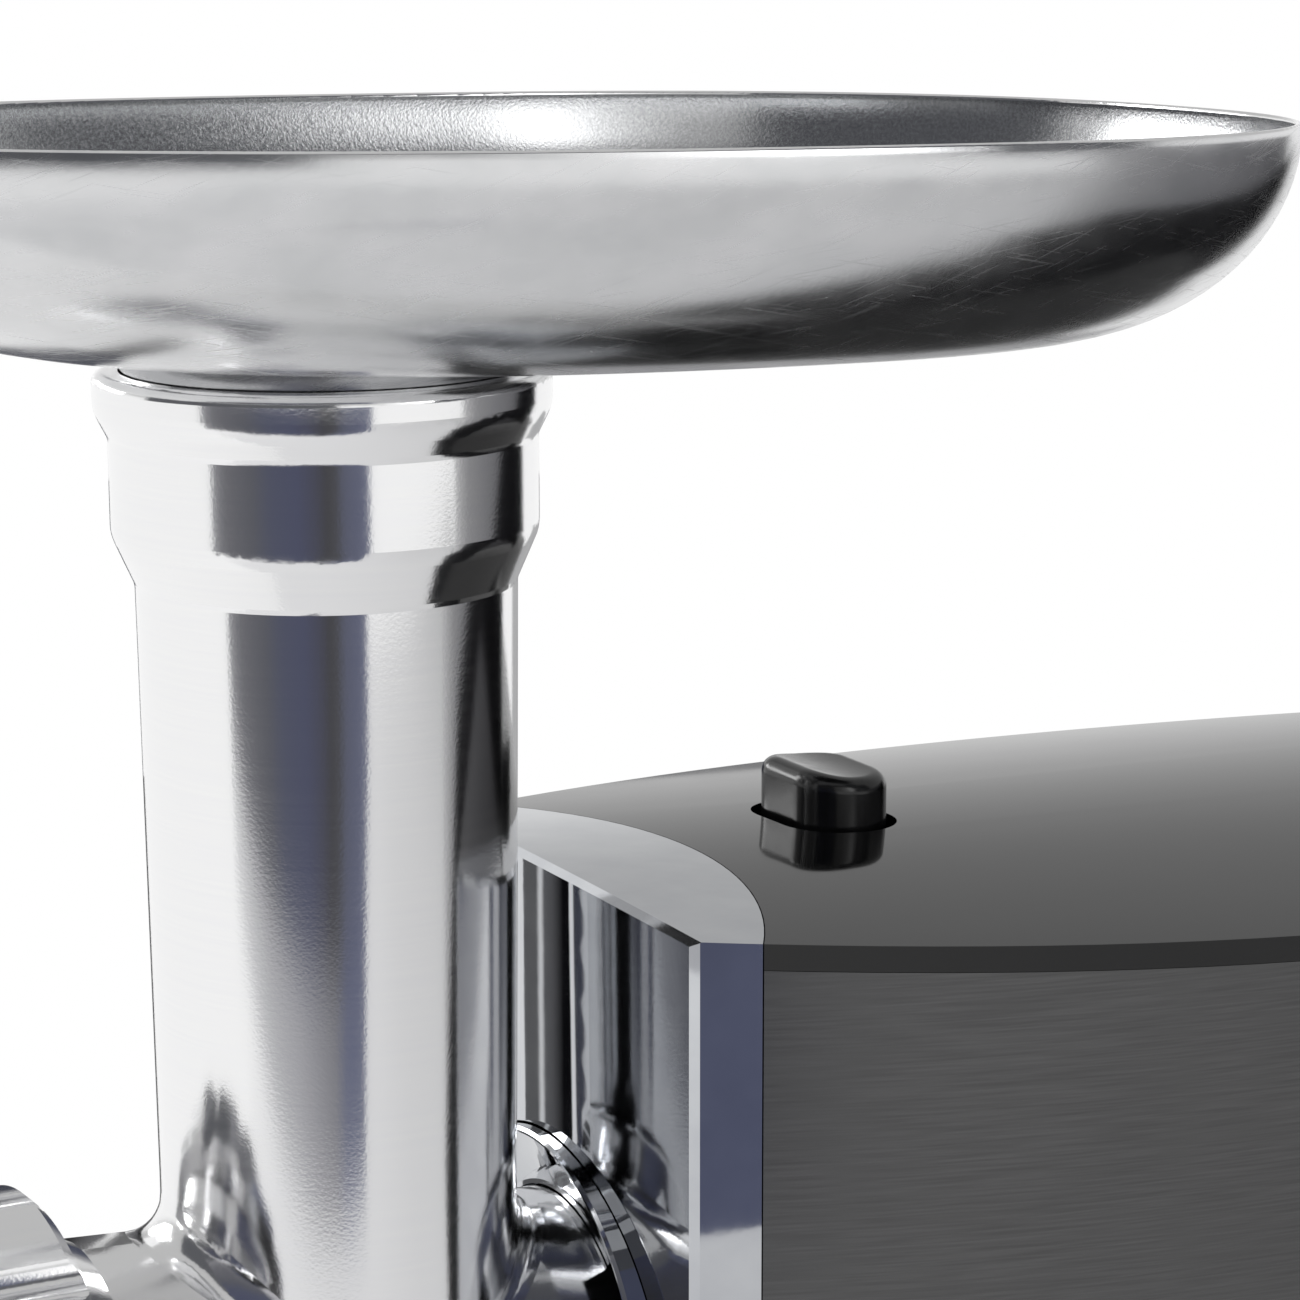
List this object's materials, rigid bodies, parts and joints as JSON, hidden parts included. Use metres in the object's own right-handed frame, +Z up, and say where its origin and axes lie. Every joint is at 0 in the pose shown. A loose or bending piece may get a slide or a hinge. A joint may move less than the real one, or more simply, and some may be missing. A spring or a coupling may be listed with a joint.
{
  "type": "electric meat grinder",
  "caption": "Electric meat grinder: egg-shaped loading tray, upright feed tube, bayonet-locked auger head and a chrome-nosed motor casing.",
  "frame": {"origin": "on the table, under the middle of the overall box", "axes": "+X from the ring nut back to the motor, +Z up, the pictured side faces -Y"},
  "size_m": [0.399, 0.1728, 0.3591],
  "materials": {
    "tray_metal": "satin",
    "cast_aluminium": "polished",
    "chrome": "polished",
    "panel_steel": "brushed",
    "black_gloss": "gloss",
    "black_plastic": "matte",
    "rubber": "matte",
    "tool_steel": "ground",
    "plain_steel": "zinc plated",
    "nylon": "satin",
    "grey_cast": "as cast",
    "bronze": "plain",
    "lamination": "lacquered",
    "copper": "enamelled",
    "carbon": "matte"
  },
  "bodies": {
    "casing": {"grinder_head": "cast_aluminium", "front_fascia": "chrome", "socket_ring": "chrome", "left_side_panel": "panel_steel", "right_side_panel": "panel_steel", "top_cover": "black_gloss", "main_housing": "black_plastic", "rear_cover": "black_plastic", "base_pan": "black_plastic", "switch_bezel": "black_plastic", "switch_body": "black_plastic", "brush_holders": "black_plastic", "motor_front_bracket": "black_plastic", "motor_rear_bracket": "black_plastic", "rubber_feet": "rubber", "cord_gland": "rubber", "cutting_plate": "tool_steel", "lever_pin": "plain_steel", "button_spring": "plain_steel", "base_screws": "plain_steel", "gearbox_screws": "plain_steel", "motor_bolts": "plain_steel", "idler_shaft": "plain_steel", "motor_bearings": "plain_steel", "gearbox_housing": "grey_cast", "gearbox_cover": "grey_cast", "drive_bushes": "bronze", "stator_core": "lamination", "field_coils": "copper", "carbon_brushes": "carbon"},
    "rotor": {"armature_shaft": "plain_steel", "armature_core": "lamination", "armature_winding": "copper", "commutator": "copper", "cooling_fan": "black_plastic", "motor_pinion": "plain_steel"},
    "idler": {"idler_gear": "nylon"},
    "drive": {"drive_shaft": "plain_steel", "output_gear": "nylon", "auger": "cast_aluminium", "auger_washer": "nylon", "knife": "tool_steel"},
    "button": {"release_button": "black_gloss"},
    "lever": {"lock_lever": "plain_steel"},
    "rocker": {"rocker_switch": "black_gloss"},
    "nut": {"ring_nut": "cast_aluminium"},
    "tray": {"hopper_tray": "tray_metal"}
  },
  "joints": [
    {"name": "rotor_spin", "type": "hinge", "parent": "casing", "child": "rotor", "pos_m": [0.05649, 0, 0.074], "axis": [1, 0, 0], "continuous": true},
    {"name": "idler_spin", "type": "hinge", "parent": "casing", "child": "idler", "pos_m": [-0.01852, 0.01927, 0.10441], "axis": [1, 0, 0], "continuous": true},
    {"name": "auger_drive", "type": "hinge", "parent": "casing", "child": "drive", "pos_m": [-0.10351, 0, 0.15], "axis": [1, 0, 0], "continuous": true},
    {"name": "release_press", "type": "slide", "parent": "casing", "child": "button", "axis": [0, 0, -1], "range_m": [0, 0.004], "stiffness_N_per_m": 400, "springref_m": -0.004, "deforming": ["button_spring"]},
    {"name": "lock_lever_rock", "type": "hinge", "parent": "casing", "child": "lever", "pos_m": [-0.02951, 0.0135, 0.2084], "axis": [0, 1, 0], "range_deg": [0, 9.3]},
    {"name": "switch_rock", "type": "hinge", "parent": "casing", "child": "rocker", "pos_m": [0.07648, -0.0744, 0.112], "axis": [1, 0, 0], "range_deg": [-12, 12]},
    {"name": "ring_nut_turn", "type": "hinge", "parent": "casing", "child": "nut", "pos_m": [-0.16351, 0, 0.15], "axis": [1, 0, 0], "continuous": true},
    {"name": "tray_lift", "type": "slide", "parent": "casing", "child": "tray", "axis": [0, 0, 1], "range_m": [0, 0.06]}
  ],
  "couplings": [
    {"joint": "idler_spin", "follows": "rotor_spin", "ratio": -0.2},
    {"joint": "auger_drive", "follows": "rotor_spin", "ratio": 0.044444},
    {"joint": "lock_lever_rock", "follows": "release_press", "rad_per_m": 40}
  ]
}
